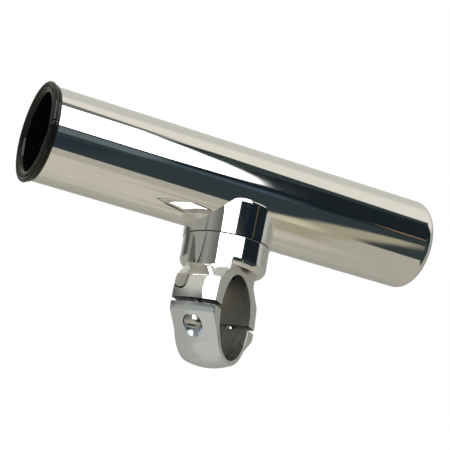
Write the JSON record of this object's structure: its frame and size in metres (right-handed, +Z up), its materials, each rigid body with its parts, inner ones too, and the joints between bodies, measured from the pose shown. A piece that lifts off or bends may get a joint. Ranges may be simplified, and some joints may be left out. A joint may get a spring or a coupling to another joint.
{
  "type": "rod holder",
  "caption": "Clamp-on fishing rod holder: polished lined tube on a toothed turning hub, with a split clamp that is screwed round a rail.",
  "frame": {"origin": "centre of the rail clamp's bore", "axes": "+X along the clamp's bore, +Z up the pivot axis towards the tube; the tube lies level, 45 degrees round from +X"},
  "size_m": [0.1983, 0.1983, 0.1247],
  "materials": {
    "polished_stainless": "mirror polished stainless steel tube",
    "cast_stainless": "polished stainless steel casting",
    "screw_steel": "stainless steel fastener",
    "black_liner": "glossy black vinyl"
  },
  "bodies": {
    "clamp": {"clamp_upper": "cast_stainless"},
    "jaw": {"clamp_lower": "cast_stainless"},
    "front_screw": {"clamp_screw_front": "screw_steel"},
    "rear_screw": {"clamp_screw_rear": "screw_steel"},
    "washer": {"pivot_flat_washer": "screw_steel"},
    "bolt": {"pivot_bolt": "screw_steel", "pivot_lock_washer": "screw_steel"},
    "holder": {"saddle_hub": "cast_stainless", "rod_tube": "polished_stainless", "tube_liner": "black_liner", "gimbal_pin": "screw_steel"}
  },
  "joints": [
    {"name": "pivot_turn", "type": "hinge", "parent": "clamp", "child": "washer", "pos_m": [0, 0, 0.0402], "axis": [0, 0, 1], "continuous": true},
    {"name": "hub_lift", "type": "slide", "parent": "washer", "child": "holder", "axis": [0, 0, 1], "range_m": [0, 0.002]},
    {"name": "bolt_turn", "type": "hinge", "parent": "clamp", "child": "bolt", "pos_m": [0, 0, 0.029], "axis": [0, 0, 1], "range_deg": [-576, 0]},
    {"name": "jaw_drop", "type": "slide", "parent": "clamp", "child": "jaw", "axis": [0, 0, -1], "range_m": [-0.0015, 0.003]},
    {"name": "front_screw_turn", "type": "hinge", "parent": "jaw", "child": "front_screw", "pos_m": [0, -0.0275, -0.0075], "axis": [0, 0, 1], "range_deg": [-1080, 540]},
    {"name": "rear_screw_turn", "type": "hinge", "parent": "jaw", "child": "rear_screw", "pos_m": [0, 0.0275, -0.0075], "axis": [0, 0, 1], "range_deg": [-1080, 540]}
  ],
  "couplings": [
    {"joint": "bolt_turn", "follows": "hub_lift", "rad_per_m": -5026.5},
    {"joint": "front_screw_turn", "follows": "jaw_drop", "rad_per_m": -6283.1},
    {"joint": "rear_screw_turn", "follows": "jaw_drop", "rad_per_m": -6283.1}
  ]
}
